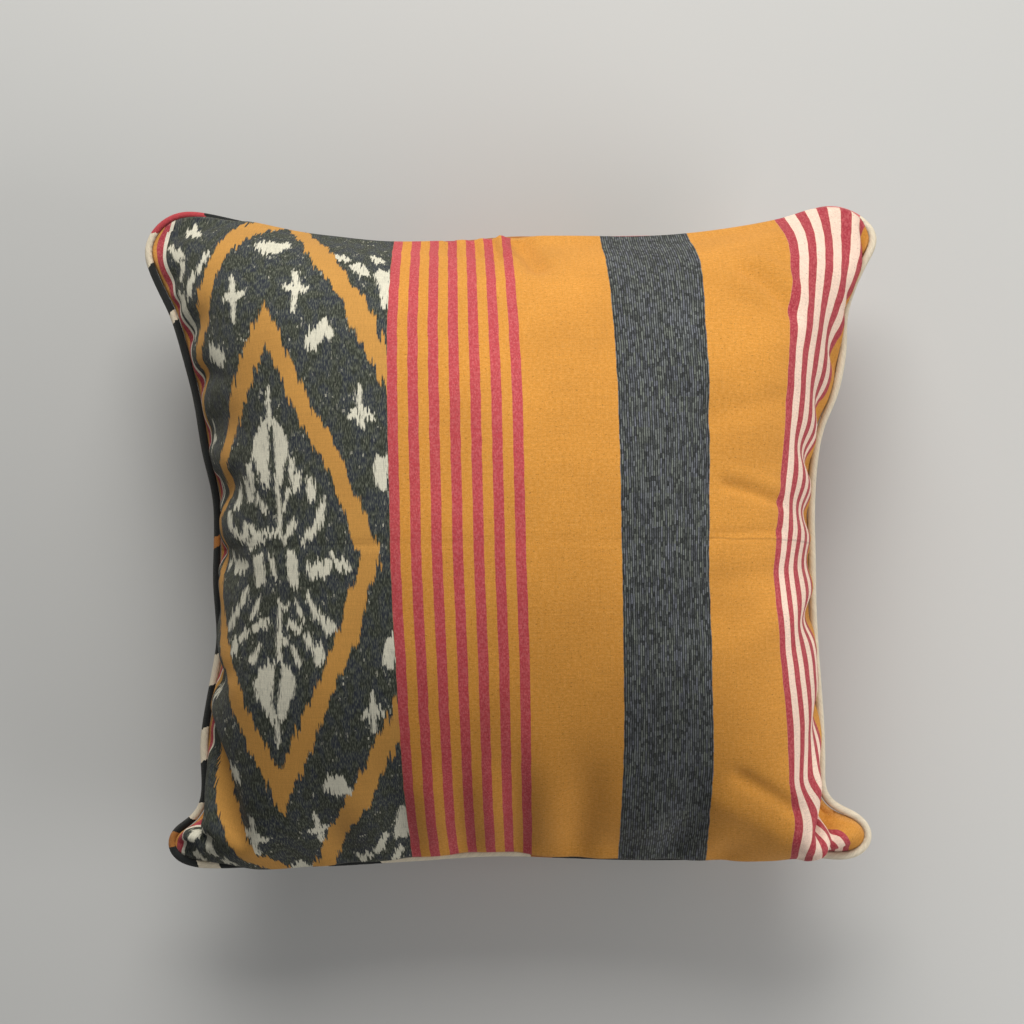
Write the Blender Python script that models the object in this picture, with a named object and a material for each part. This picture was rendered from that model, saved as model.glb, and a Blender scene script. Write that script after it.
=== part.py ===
"""An ikat cushion, lying on its back with its face up.

Metres, +Z up. X runs across the face, to the right, Y runs up the face, along the
stripes, and Z comes out of it. The origin is on the resting plane, under the middle
of the outline. Tables are in millimetres.

Two pieces: the filled cover, whose front and back panels meet in one seam, and the
round piping that is sewn into that seam all the way round.
"""

import math
from collections import namedtuple

import bmesh
import bpy
import numpy as np

MM = 0.001

# ---- driving sizes, mm ----------------------------------------------------------
SEAM_Z = 88.0  # height of the seam over the resting plane
CROWN = 107.0  # rise of the face over the seam
BELLY = 127.0  # how far the back would bulge under the seam with nothing below it
SETTLE = 16.0  # height over which the back rolls down into its flat
CREST, FALL = 2.7, 0.8  # the crown's section: a flatter top, then a steeper fall
CORNER_FILL = 1.0  # how much fuller the corners are than two crossed sections
LEAN = 6.0  # the filling has sunk this much towards the foot of the face
SEAM_THICK = 3.0  # the four layers sewn together at the seam
PIPING_D = 5.0  # the covered cord
GAP = 0.35  # between the cover's edge and the piping

ACROSS, ALONG = 40, 38  # facets over each panel
GATHER = 0.55  # 0: even facets, 1: packed towards the seam
PIPING_SIDES_RES = 2  # 8 sides

# ---- the outline: the outer edge of the piping -----------------------------------
# x and y lie in the plane of the face, and lift is how far the seam wanders over or
# under SEAM_Z. Each side starts at one corner and ends at the next, going round
# anticlockwise from the lower left, and it is drawn in between them.
Edge = namedtuple("Edge", "x y lift")

FOOT_SIDE = (
    Edge(-202.5, -185.0, -4.0),
    Edge(-200.5, -191.0, -4.0),
    Edge(-190.5, -196.0, -4.0),
    Edge(-181.0, -197.5, -5.0),
    Edge(-153.5, -197.5, -9.0),
    Edge(-124.0, -197.5, -13.0),
    Edge(-95.0, -196.5, -15.0),
    Edge(-48.0, -193.5, -16.0),
    Edge(-6.5, -191.0, -16.0),
    Edge(17.0, -192.0, -16.0),
    Edge(64.5, -193.5, -16.0),
    Edge(116.0, -193.5, -14.0),
    Edge(149.5, -192.5, -10.0),
    Edge(174.5, -191.0, -5.0),
    Edge(190.5, -193.0, -4.0),
    Edge(199.5, -192.5, -4.0),
    Edge(207.0, -189.0, -4.0),
)
RIGHT_SIDE = (
    Edge(213.0, -181.5, -4.0),
    Edge(211.5, -173.0, -4.0),
    Edge(207.0, -167.0, -3.0),
    Edge(199.5, -162.5, -2.0),
    Edge(190.0, -159.0, 0.0),
    Edge(184.0, -152.0, 1.0),
    Edge(184.0, -138.5, 2.0),
    Edge(183.5, -114.0, 2.0),
    Edge(181.5, -82.0, 2.0),
    Edge(180.0, -54.5, 2.0),
    Edge(179.5, -12.5, 2.0),
    Edge(179.5, 18.0, 2.0),
    Edge(182.0, 45.5, 2.0),
    Edge(186.5, 63.5, 2.0),
    Edge(194.0, 80.5, 1.0),
    Edge(199.5, 107.0, 0.0),
    Edge(201.0, 131.0, -2.0),
    Edge(209.0, 152.5, -3.0),
    Edge(216.5, 167.5, -4.0),
)
HEAD_SIDE = (
    Edge(220.5, 178.5, -4.0),
    Edge(212.5, 188.5, -5.0),
    Edge(204.0, 194.5, -6.0),
    Edge(194.5, 197.5, -7.0),
    Edge(185.5, 197.0, -8.0),
    Edge(165.0, 190.0, -10.0),
    Edge(145.5, 186.0, -12.0),
    Edge(106.5, 181.0, -14.0),
    Edge(75.0, 180.0, -15.0),
    Edge(33.0, 180.0, -15.0),
    Edge(-6.0, 179.5, -15.0),
    Edge(-25.0, 177.5, -15.0),
    Edge(-74.5, 176.5, -14.0),
    Edge(-103.0, 179.0, -13.0),
    Edge(-125.0, 181.0, -12.0),
    Edge(-160.5, 188.0, -10.0),
    Edge(-183.0, 192.5, -7.0),
    Edge(-195.0, 194.0, -6.0),
    Edge(-204.5, 191.5, -5.0),
)
LEFT_SIDE = (
    Edge(-213.0, 185.0, -4.0),
    Edge(-218.5, 176.5, -4.0),
    Edge(-220.5, 167.5, -3.0),
    Edge(-213.0, 147.0, -2.0),
    Edge(-203.5, 128.0, 0.0),
    Edge(-197.0, 107.5, 1.0),
    Edge(-188.5, 76.0, 2.0),
    Edge(-183.5, 47.5, 2.0),
    Edge(-176.5, 17.0, 2.0),
    Edge(-176.0, -9.5, 2.0),
    Edge(-176.0, -32.5, 2.0),
    Edge(-173.5, -64.5, 2.0),
    Edge(-178.0, -92.0, 2.0),
    Edge(-182.5, -121.5, 1.0),
    Edge(-181.5, -145.5, 1.0),
    Edge(-182.5, -159.0, 0.0),
    Edge(-188.5, -167.5, -2.0),
    Edge(-196.5, -171.5, -3.0),
    Edge(-202.5, -178.0, -4.0),
)

# ---- the folds ---------------------------------------------------------------------
# Each is a soft trough (or a ridge, where depth is negative) along a short line on
# the face, which fades out at both ends. half is its half width.
Fold = namedtuple("Fold", "x0 y0 x1 y1 half depth")

FACE_FOLDS = (
    Fold(-172, -9, -60, -9, 8, 1.2),  # the crease of folded storage, left half
    Fold(112, -5, 170, -1, 9, 2.0),  # the same crease, right half
    Fold(-6, 184, 6, 150, 9, 3.5),  # a tuck under the head seam
    Fold(150, 150, 176, 128, 10, 3.0),
    Fold(124, 32, 172, 20, 11, 3.5),
    Fold(118, -26, 176, -44, 12, 2.5),
    Fold(96, 70, 178, 78, 14, -2.5),
    Fold(110, -96, 178, -88, 13, -2.0),
    Fold(128, -140, 172, -178, 11, 4.0),
    Fold(60, -150, 150, -120, 18, -2.0),
    Fold(174, -190, 200, -168, 8, 6.0),  # the tuck of the right lower ear
    Fold(-176, -188, -196, -166, 8, 6.0),  # the tuck of the left lower ear
    Fold(-205, 188, -150, 128, 11, 2.5),  # from the left upper corner
    Fold(207, 184, 158, 128, 11, 2.5),  # from the right upper corner
    Fold(-178, 96, -140, 88, 11, 2.0),
    Fold(-172, 28, -138, 36, 11, 2.5),
    Fold(-170, -48, -136, -40, 11, 2.5),
    Fold(-176, -112, -140, -100, 12, 2.0),
    Fold(-120, -190, -104, -150, 12, 2.0),
    Fold(30, -188, 24, -150, 13, 1.5),
)
# Gathers along the sides, where each panel is sewn to a shorter edge: how many ridges
# run in from each side, how far they reach, and their height.
Gather = namedtuple("Gather", "count reach height shift")
GATHERS = {
    "foot": Gather(8, 26.0, 1.5, 0.3),
    "right": Gather(9, 34.0, 3.2, 0.1),
    "head": Gather(8, 24.0, 1.5, 0.6),
    "left": Gather(9, 34.0, 3.2, 0.45),
}


# ---- the outline as curves ---------------------------------------------------------
def smooth_loop(rows, steps):
    """A closed curve through these rows, with steps points from each to the next."""
    points = np.array(rows, float)
    before, after, far = (np.roll(points, k, axis=0) for k in (1, -1, -2))
    # Chord lengths to the power of a half keep the curve from looping at close rows.
    gap = lambda a, b: np.sqrt(np.linalg.norm(b - a, axis=1))[:, None]
    t1 = gap(before, points)
    t2 = t1 + gap(points, after)
    t3 = t2 + gap(after, far)
    out = []
    for k in range(steps):
        t = t1 + (t2 - t1) * k / steps
        a1 = (t1 - t) / t1 * before + t / t1 * points
        a2 = (t2 - t) / (t2 - t1) * points + (t - t1) / (t2 - t1) * after
        a3 = (t3 - t) / (t3 - t2) * after + (t - t2) / (t3 - t2) * far
        b1 = (t2 - t) / t2 * a1 + t / t2 * a2
        b2 = (t3 - t) / (t3 - t1) * a2 + (t - t1) / (t3 - t1) * a3
        out.append((t2 - t) / (t2 - t1) * b1 + (t - t1) / (t2 - t1) * b2)
    return np.stack(out, axis=1).reshape(-1, 3)


STEPS = 12
SIDES = (FOOT_SIDE, RIGHT_SIDE, HEAD_SIDE, LEFT_SIDE)
OUTER = smooth_loop([row for side in SIDES for row in side], STEPS)
CENTRE = (OUTER.max(axis=0) + OUTER.min(axis=0)) / 2


def inset(loop, distance):
    """The loop moved inwards in its plane."""
    ahead = np.roll(loop, -2, axis=0) - np.roll(loop, 2, axis=0)
    across = np.stack([-ahead[:, 1], ahead[:, 0]], axis=1)
    across /= np.linalg.norm(across, axis=1)[:, None]
    moved = loop.copy()
    moved[:, :2] += across * distance
    return moved


def side_curves(depth):
    """The four sides of the loop this far inside the outline. Each is (fractions of the
    seam's length, points), so that one fraction is abreast of itself in every loop."""
    loops = []
    for distance in (PIPING_D + GAP, depth):
        loop = inset(OUTER, distance)
        loop[:, :2] -= CENTRE[:2]
        loops.append(loop)
    seam, wanted = loops
    curves, start = [], 0
    for rows in SIDES:
        end = start + len(rows) * STEPS
        index = np.arange(start, end + 1) % len(seam)
        run = np.linalg.norm(np.diff(seam[index, :2], axis=0), axis=1)
        at = np.concatenate([[0.0], np.cumsum(run)]) / run.sum()
        curves.append((at, wanted[index]))
        start = end
    return curves


SEAM = side_curves(PIPING_D + GAP)
CORD = side_curves(PIPING_D / 2)


def on_side(number, fraction, curves=SEAM):
    """A point of the seam: 0 foot, 1 right, 2 head, 3 left, going round."""
    at, points = curves[number]
    return np.array([np.interp(fraction, at, points[:, k]) for k in range(3)])


def in_plan(s, t):
    """Where (s, t), each from 0 to 1, lies between the four sides: x, y and lift."""
    foot, head = on_side(0, s), on_side(2, 1 - s)
    left, right = on_side(3, 1 - t), on_side(1, t)
    corners = (
        (1 - s) * (1 - t) * on_side(0, 0.0)
        + s * (1 - t) * on_side(1, 0.0)
        + s * t * on_side(2, 0.0)
        + (1 - s) * t * on_side(3, 0.0)
    )
    return (1 - t) * foot + t * head + (1 - s) * left + s * right - corners


# ---- the filled form ---------------------------------------------------------------
def section(a):
    """The crown's section: 1 in the middle, 0 at the seam, upright there."""
    a = min(1.0, abs(a))
    return (1 - a**CREST) ** FALL


def fullness(s, t):
    a, b = 2 * s - 1, 2 * t - 1
    b += LEAN / 200.0 * (1 - b * b)
    return section(a) * section(b) * (1 + CORNER_FILL * (a * b) ** 2)


def gathered(s, t):
    """The ridges that run in from the four sides."""
    total = 0.0
    for side, depth, run in (
        ("foot", t, s),
        ("head", 1 - t, s),
        ("left", s, t),
        ("right", 1 - s, t),
    ):
        g = GATHERS[side]
        d = depth * 400.0 / g.reach
        swell = d * math.exp(1 - 2.2 * d) if d > 0 else 0.0
        # Ridges of uneven width: the phase runs ahead and falls back along the side.
        phase = g.count * run + 0.35 * math.sin(5.1 * run + 6.0 * g.shift) + g.shift
        ends = min(1.0, 9.0 * run * (1 - run))
        total += g.height * swell * ends * math.cos(2 * math.pi * phase)
    return total


def folded(x, y):
    """How far the face is pulled down by its folds at this place."""
    total = 0.0
    for f in FACE_FOLDS:
        dx, dy = f.x1 - f.x0, f.y1 - f.y0
        length = math.hypot(dx, dy)
        along = ((x - f.x0) * dx + (y - f.y0) * dy) / length
        off = ((x - f.x0) * dy - (y - f.y0) * dx) / length
        past = max(0.0, -along, along - length)
        fade = math.exp(-((off / f.half) ** 2) - (past / (1.4 * f.half)) ** 2)
        total += f.depth * fade
    return total


def front(s, t):
    x, y, lift = in_plan(s, t)
    full = fullness(s, t)
    height = CROWN * full + gathered(s, t)
    height -= min(folded(x, y), 0.45 * height)
    return x, y, SEAM_Z + lift * (1 - full) + SEAM_THICK / 2 + height


def settled(z):
    """Rolls a height down into the resting plane: 0 below it, z well above it."""
    if z <= -SETTLE / 2:
        return 0.0
    if z >= SETTLE / 2:
        return z
    return (z + SETTLE / 2) ** 2 / (2 * SETTLE)


def back(s, t):
    x, y, lift = in_plan(s, t)
    full = fullness(s, t)
    top = SEAM_Z + lift * (1 - full) - SEAM_THICK / 2
    bare = top - BELLY * full - gathered(1 - s, t) * min(1.0, 2.5 * (1 - full))
    return x, y, settled(bare)


# ---- meshes ------------------------------------------------------------------------
def spread(a):
    """Packs the facets towards the seam, where the section turns fastest."""
    return (1 - GATHER) * a + GATHER * 0.5 * (1 - math.cos(math.pi * a))


def add_panel(bm, surface):
    made = bmesh.ops.create_grid(bm, x_segments=ACROSS, y_segments=ALONG, size=0.5)
    for vert in made["verts"]:
        s, t = spread(vert.co.x + 0.5), spread(vert.co.y + 0.5)
        vert.co = [v * MM for v in surface(s, t)]
    return made["verts"]


def open_edges(bm, verts):
    wanted = set(verts)
    return [
        e for e in bm.edges if len(e.link_faces) == 1 and wanted.issuperset(e.verts)
    ]


def finish_mesh(name, bm, material):
    mesh = bpy.data.meshes.new(name)
    bm.to_mesh(mesh)
    bm.free()
    mesh.shade_smooth()
    mesh.materials.append(material)
    obj = bpy.data.objects.new(name, mesh)
    bpy.context.scene.collection.objects.link(obj)
    return obj


def cushion_body(material):
    bm = bmesh.new()
    face = add_panel(bm, front)
    rear = add_panel(bm, back)
    rear_faces = list({f for v in rear for f in v.link_faces})
    bmesh.ops.reverse_faces(bm, faces=rear_faces)
    rims = open_edges(bm, face) + open_edges(bm, rear)
    bmesh.ops.bridge_loops(bm, edges=rims)
    bmesh.ops.recalc_face_normals(bm, faces=bm.faces)
    return finish_mesh("cushion_body", bm, material)


def piping(material):
    """One closed round cord, centred half its width inside the outline."""
    ring = []
    for number, facets in enumerate((ACROSS, ALONG, ACROSS, ALONG)):
        ring += [on_side(number, spread(k / facets), CORD) for k in range(facets)]
    curve = bpy.data.curves.new("piping", "CURVE")
    curve.dimensions = "3D"
    curve.twist_mode = "Z_UP"
    curve.bevel_depth = PIPING_D / 2 * MM
    curve.bevel_resolution = PIPING_SIDES_RES
    spline = curve.splines.new("POLY")
    spline.points.add(len(ring) - 1)
    spline.use_cyclic_u = True
    for point, (x, y, lift) in zip(spline.points, ring):
        point.co = (x * MM, y * MM, (SEAM_Z + lift) * MM, 1.0)
    curve.materials.append(material)
    obj = bpy.data.objects.new("piping", curve)
    bpy.context.scene.collection.objects.link(obj)
    return obj


def cloth_material(name, colour, roughness):
    material = bpy.data.materials.new(name)
    material.use_nodes = True
    shader = material.node_tree.nodes["Principled BSDF"]
    shader.inputs["Base Color"].default_value = (*colour, 1.0)
    shader.inputs["Roughness"].default_value = roughness
    shader.inputs["Metallic"].default_value = 0.0
    return material


def main():
    for obj in list(bpy.data.objects):
        bpy.data.objects.remove(obj, do_unlink=True)
    cushion_body(cloth_material("striped ikat cotton", (0.60, 0.32, 0.09), 0.86))
    piping(cloth_material("cream piping cotton", (0.74, 0.66, 0.54), 0.82))


main()
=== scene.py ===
"""A filled ikat cushion in a striped cotton cover with a piped seam, lying on its back.

Metres, +Z up. X runs across the face, to the right, and Y up the face, along the
stripes. The cover is two panels cut square and sewn together round their edges. It is
filled here as the real one is: flat cloth of a fixed size is blown up against its own
thread, its seam is held on the outline, and it settles on the floor. Tables are in
millimetres unless they say otherwise.
"""

import math

import bpy
import numpy as np
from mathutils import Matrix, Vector


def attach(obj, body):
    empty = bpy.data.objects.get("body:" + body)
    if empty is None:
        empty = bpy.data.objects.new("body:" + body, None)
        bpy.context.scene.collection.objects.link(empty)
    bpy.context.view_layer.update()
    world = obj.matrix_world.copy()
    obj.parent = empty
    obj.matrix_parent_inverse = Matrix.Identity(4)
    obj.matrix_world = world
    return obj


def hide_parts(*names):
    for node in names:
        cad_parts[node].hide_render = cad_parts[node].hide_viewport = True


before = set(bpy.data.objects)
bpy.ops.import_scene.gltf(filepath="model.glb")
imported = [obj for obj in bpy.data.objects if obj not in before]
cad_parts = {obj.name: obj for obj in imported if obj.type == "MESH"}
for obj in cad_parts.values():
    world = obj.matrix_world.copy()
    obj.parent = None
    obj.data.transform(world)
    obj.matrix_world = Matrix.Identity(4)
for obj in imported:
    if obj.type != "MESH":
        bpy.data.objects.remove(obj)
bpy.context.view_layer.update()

MM = 0.001

# ---- sizes -------------------------------------------------------------------------
CUT = 450.0  # each panel, seam to seam
CUT_CORNER = 22.0  # radius that its corners are sewn to
SEAM_Z = 88.0  # height of the seam over the floor
PIPE_R = 2.15
LIP = 4.0  # how far the cloth rolls out over the piping, where it does

# The outer edge of the outline, anticlockwise from the lower left corner. lift is how
# far the seam lies over or under SEAM_Z. roll says how the piping lies: 0 is straight
# out, 1 is tucked under the rolled edge of the face.
#       x      y     lift roll
FOOT = (
    (-202.5, -185.0, -4, 0.0),
    (-200.5, -191.0, -4, 0.0),
    (-190.5, -196.0, -4, 0.0),
    (-181.0, -197.5, -5, 0.3),
    (-153.5, -197.5, -9, 0.9),
    (-124.0, -197.5, -13, 1.0),
    (-95.0, -196.5, -15, 0.9),
    (-48.0, -193.5, -16, 0.7),
    (-6.5, -191.0, -16, 0.6),
    (17.0, -192.0, -16, 0.9),
    (64.5, -193.5, -16, 1.0),
    (116.0, -193.5, -14, 1.0),
    (149.5, -192.5, -10, 0.9),
    (174.5, -191.0, -5, 0.3),
    (190.5, -193.0, -4, 0.0),
    (199.5, -192.5, -4, 0.0),
    (207.0, -189.0, -4, 0.0),
)
RIGHT = (
    (213.0, -181.5, -4, 0.0),
    (211.5, -173.0, -4, 0.0),
    (207.0, -167.0, -3, 0.0),
    (199.5, -162.5, -2, 0.0),
    (190.0, -159.0, 0, 0.0),
    (184.0, -152.0, 1, 0.0),
    (184.0, -138.5, 2, 0.0),
    (183.5, -114.0, 2, 0.0),
    (181.5, -82.0, 2, 0.0),
    (180.0, -54.5, 2, 0.0),
    (179.5, -12.5, 2, 0.0),
    (179.5, 18.0, 2, 0.0),
    (182.0, 45.5, 2, 0.0),
    (186.5, 63.5, 2, 0.0),
    (194.0, 80.5, 1, 0.0),
    (199.5, 107.0, 0, 0.0),
    (201.0, 131.0, -2, 0.0),
    (209.0, 152.5, -3, 0.0),
    (216.5, 167.5, -4, 0.0),
)
HEAD = (
    (220.5, 178.5, -4, 0.2),
    (212.5, 188.5, -5, 0.8),
    (204.0, 194.5, -6, 1.0),
    (194.5, 197.5, -7, 1.0),
    (185.5, 197.0, -8, 1.0),
    (165.0, 190.0, -10, 1.0),
    (145.5, 186.0, -12, 1.0),
    (106.5, 181.0, -14, 1.0),
    (75.0, 180.0, -15, 0.9),
    (33.0, 180.0, -15, 1.0),
    (-6.0, 179.5, -15, 1.0),
    (-25.0, 177.5, -15, 1.0),
    (-74.5, 176.5, -14, 0.85),
    (-103.0, 179.0, -13, 0.85),
    (-125.0, 181.0, -12, 0.9),
    (-160.5, 188.0, -10, 1.0),
    (-183.0, 192.5, -7, 0.9),
    (-195.0, 194.0, -6, 0.6),
    (-204.5, 191.5, -5, 0.3),
)
LEFT = (
    (-213.0, 185.0, -4, 0.0),
    (-218.5, 176.5, -4, 0.0),
    (-220.5, 167.5, -3, 0.0),
    (-213.0, 147.0, -2, 0.0),
    (-203.5, 128.0, 0, 0.0),
    (-197.0, 107.5, 1, 0.0),
    (-188.5, 76.0, 2, 0.0),
    (-183.5, 47.5, 2, 0.0),
    (-176.5, 17.0, 2, 0.0),
    (-176.0, -9.5, 2, 0.0),
    (-176.0, -32.5, 2, 0.0),
    (-173.5, -64.5, 2, 0.0),
    (-178.0, -92.0, 2, 0.0),
    (-182.5, -121.5, 1, 0.0),
    (-181.5, -145.5, 1, 0.0),
    (-182.5, -159.0, 0, 0.0),
    (-188.5, -167.5, -2, 0.0),
    (-196.5, -171.5, -3, 0.0),
    (-202.5, -178.0, -4, 0.0),
)
SIDES = (FOOT, RIGHT, HEAD, LEFT)
STEPS = 12

# Places along the two sides where the seam draws the cloth in, on the cloth: how far up
# from the foot, half width, strength.
RIGHT_PULLS = (
    (62, 5, 0.6),
    (88, 4, 0.3),
    (116, 5, 0.4),
    (139, 5, 0.5),
    (160, 4, 0.35),
    (180, 5, 0.55),
    (207, 5, 0.4),
    (223, 4, 0.4),
    (239, 4, 0.45),
    (253, 4, 0.45),
    (272, 5, 0.55),
    (294, 4, 0.4),
    (307, 4, 0.5),
    (320, 4, 0.35),
    (347, 4, 0.35),
    (359, 4, 0.3),
    (384, 6, 0.5),
)
LEFT_PULLS = (
    (98, 5, 0.3),
    (130, 7, 0.5),
    (158, 4, 0.3),
    (192, 4, 0.35),
    (215, 5, 0.5),
    (238, 4, 0.4),
    (262, 6, 0.5),
    (290, 5, 0.35),
    (330, 7, 0.5),
    (360, 5, 0.3),
    (388, 7, 0.45),
)
PULL_REACH = 24.0
GATHER, GATHER_REACH = 0.09, 55.0  # how much the side seams take up along themselves
# The lower corners hold little filling, and the tucks in them take up some width. Each
# row: how far up from the foot, half height, how far in from the side, half width, how
# much.
TAKEN_UP = (60.0, 55.0, 40.0, 42.0, 0.20)
SLACK = ((75.0, 55.0, 0.0, 50.0, 0.8), (26.0, 30.0, 24.0, 30.0, 0.7))

# Creases and dents of the face, on the cloth, u across from the left seam and v up from
# the foot: a soft trough from (u0, v0) to (u1, v1), or a ridge where depth is negative.
#    u0   v0   u1   v1  half depth
FOLDS = (
    (14, 216, 152, 216, 2.2, 0.7),
    (152, 216, 330, 218, 2.2, 0.25),
    (334, 221, 380, 225, 2.4, 0.9),
    (222, 449, 236, 404, 6.5, 5.0),
    (181, 448, 187, 420, 2.6, 2.4),
    (195, 448, 201, 418, 2.8, 2.8),
    (207, 448, 212, 414, 2.8, 3.2),
    (213, 448, 219, 420, 2.6, -2.2),
    (358, 382, 384, 356, 5.0, 3.0),
    (366, 392, 390, 370, 5.0, -1.6),
    (352, 362, 378, 346, 8.0, 1.4),
    (342, 248, 380, 241, 3.2, 2.0),
    (342, 256, 376, 250, 4.0, -0.8),
    (336, 312, 388, 348, 12.0, -1.8),
    (332, 286, 372, 300, 8.0, 1.6),
    (334, 160, 384, 176, 12.0, -1.2),
    (336, 196, 380, 202, 7.0, 1.0),
    (352, 84, 388, 62, 4.6, 3.0),
    (344, 66, 380, 46, 9.0, -1.8),
    (300, 40, 350, 66, 14.0, -1.2),
    (411, 42, 412, 66, 9.0, -4.0),
    (410, 8, 440, 34, 3.2, 3.4),
    (404, 14, 434, 42, 3.4, -2.2),
    (5, 32, 27, 25, 3.2, 3.4),
    (27, 25, 9, 9, 3.2, 3.0),
    (10, 20, 18, 19, 4.0, -2.0),
    (16, 334, 44, 322, 5.0, 1.6),
    (20, 248, 56, 262, 6.0, 1.4),
    (18, 128, 52, 140, 7.0, 1.6),
)


# ---- the outline -------------------------------------------------------------------
def smooth_loop(rows, steps):
    """A closed curve through these rows, with steps points from each to the next."""
    points = np.array(rows, float)
    before, after, far = (np.roll(points, k, axis=0) for k in (1, -1, -2))
    gap = lambda a, b: np.sqrt(np.linalg.norm((b - a)[:, :2], axis=1))[:, None]
    t1 = gap(before, points)
    t2 = t1 + gap(points, after)
    t3 = t2 + gap(after, far)
    out = []
    for k in range(steps):
        t = t1 + (t2 - t1) * k / steps
        a1 = (t1 - t) / t1 * before + t / t1 * points
        a2 = (t2 - t) / (t2 - t1) * points + (t - t1) / (t2 - t1) * after
        a3 = (t3 - t) / (t3 - t2) * after + (t - t2) / (t3 - t2) * far
        b1 = (t2 - t) / t2 * a1 + t / t2 * a2
        b2 = (t3 - t) / (t3 - t1) * a2 + (t - t1) / (t3 - t1) * a3
        out.append((t2 - t) / (t2 - t1) * b1 + (t - t1) / (t2 - t1) * b2)
    return np.stack(out, axis=1).reshape(-1, points.shape[1])


OUTLINE = smooth_loop([row for rows in SIDES for row in rows], STEPS)
OUTLINE[:, :3] *= MM
OUTLINE[:, 3] = np.clip(OUTLINE[:, 3], 0, 1)


def inward(loop):
    ahead = np.roll(loop[:, :2], -2, axis=0) - np.roll(loop[:, :2], 2, axis=0)
    across = np.stack([-ahead[:, 1], ahead[:, 0]], axis=1)
    return across / np.linalg.norm(across, axis=1)[:, None]


# The seam lies a piping's width inside the outline, or the width of the rolled edge.
SEAM = OUTLINE.copy()
SEAM[:, :2] += (
    inward(OUTLINE) * (MM * (2 * PIPE_R + 0.8 - (2 * PIPE_R + 1.0 - LIP) * OUTLINE[:, 3]))[:, None]
)


def side(number, fraction):
    """Points of the seam on one side, going round, with lift and roll."""
    start = sum(len(rows) for rows in SIDES[:number]) * STEPS
    index = np.arange(start, start + len(SIDES[number]) * STEPS + 1) % len(SEAM)
    run = np.linalg.norm(np.diff(SEAM[index, :2], axis=0), axis=1)
    at = np.concatenate([[0.0], np.cumsum(run)]) / run.sum()
    return np.stack([np.interp(fraction, at, SEAM[index, k]) for k in range(4)], axis=-1)


def around(n):
    """The seam at the edge points of an n by n panel, going round from the lower left."""
    f = np.arange(n) / n
    return np.concatenate([side(k, f) for k in range(4)])


def edge(n):
    """Rows and columns of an n by n panel's edge points, going round."""
    i = np.concatenate([np.zeros(n, int), np.arange(n), np.full(n, n), np.arange(n, 0, -1)])
    j = np.concatenate([np.arange(n), np.full(n, n), np.arange(n, 0, -1), np.zeros(n, int)])
    return i, j


# ---- the cloth ---------------------------------------------------------------------
def cut_panel(n):
    """The panel laid flat: a square whose corners are sewn round."""
    s = np.linspace(0, CUT * MM, n + 1)
    x, y = np.meshgrid(s, s)
    X, Y = x.copy(), y.copy()
    r = CUT_CORNER * MM
    for right in (0, 1):
        for top in (0, 1):
            dx = CUT * MM - x if right else x
            dy = CUT * MM - y if top else y
            near, far = np.minimum(dx, dy), np.maximum(dx, dy)
            turn = (1 - np.clip(far, 0, r) / r) * math.pi / 4
            fade = np.clip(1 - near / (2.2 * r), 0, 1) ** 2 * (far <= r)
            a = r * (1 - np.cos(turn)) * fade
            b = (r - r * np.sin(turn) - np.clip(far, 0, r)) * fade
            ax, ay = np.where(dx <= dy, a, b), np.where(dx <= dy, b, a)
            X += (-1 if right else 1) * ax
            Y += (-1 if top else 1) * ay
    return np.stack([X, Y], axis=-1)


def first_shape(n):
    """Both panels spread over the outline and domed a little, front then back."""
    s = np.linspace(0, 1, n + 1)
    foot, right, head, left = side(0, s), side(1, s), side(2, 1 - s), side(3, 1 - s)
    S, T = np.meshgrid(s, s)
    S, T = S[..., None], T[..., None]
    at = (1 - T) * foot[None] + T * head[None] + (1 - S) * left[:, None] + S * right[:, None]
    at = at - (
        (1 - S) * (1 - T) * foot[0] + S * (1 - T) * foot[-1] + S * T * head[-1] + (1 - S) * T * head[0]
    )
    dome = (np.sin(np.pi * S) * np.sin(np.pi * T))[..., 0] ** 0.8
    P = np.zeros((2, n + 1, n + 1, 3))
    P[..., :2] = at[None, ..., :2]
    P[0, ..., 2] = SEAM_Z * MM + at[..., 2] + 0.100 * dome
    P[1, ..., 2] = SEAM_Z * MM + at[..., 2] - 0.085 * dome
    return P


def finer(P):
    """The same cloth with twice as many threads each way."""

    def between(A, axis):
        A = np.moveaxis(A, axis, 0)
        E = np.concatenate([2 * A[:1] - A[1:2], A, 2 * A[-1:] - A[-2:-1]])
        return np.moveaxis((9 * (E[1:-2] + E[2:-1]) - (E[:-3] + E[3:])) / 16, 0, axis)

    n = P.shape[1] - 1
    Q = np.empty((2, 2 * n + 1, 2 * n + 1, 3))
    Q[:, ::2, ::2] = P
    Q[:, ::2, 1::2] = between(P, 2)
    Q[:, 1::2] = between(Q[:, ::2], 1)
    return Q


def normals(P):
    du, dv = np.empty_like(P), np.empty_like(P)
    du[:, :, 1:-1] = P[:, :, 2:] - P[:, :, :-2]
    du[:, :, 0], du[:, :, -1] = P[:, :, 1] - P[:, :, 0], P[:, :, -1] - P[:, :, -2]
    dv[:, 1:-1] = P[:, 2:] - P[:, :-2]
    dv[:, 0], dv[:, -1] = P[:, 1] - P[:, 0], P[:, -1] - P[:, -2]
    n = np.cross(du, dv)
    n /= np.maximum(np.linalg.norm(n, axis=-1, keepdims=True), 1e-12)
    n[1] *= -1
    return n


def pull_together(P, a, b, rest, stretch, squeeze):
    """Moves each pair of points towards its own distance in the cut cloth."""
    A, B = P[a], P[b]
    d = B - A
    length = np.sqrt(np.einsum("...k,...k->...", d, d))
    share = (length - rest) / np.maximum(length, 1e-9)
    share *= np.where(share > 0, 0.5 * stretch, 0.5 * squeeze)
    d *= share[..., None]
    A += d
    B -= d


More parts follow.
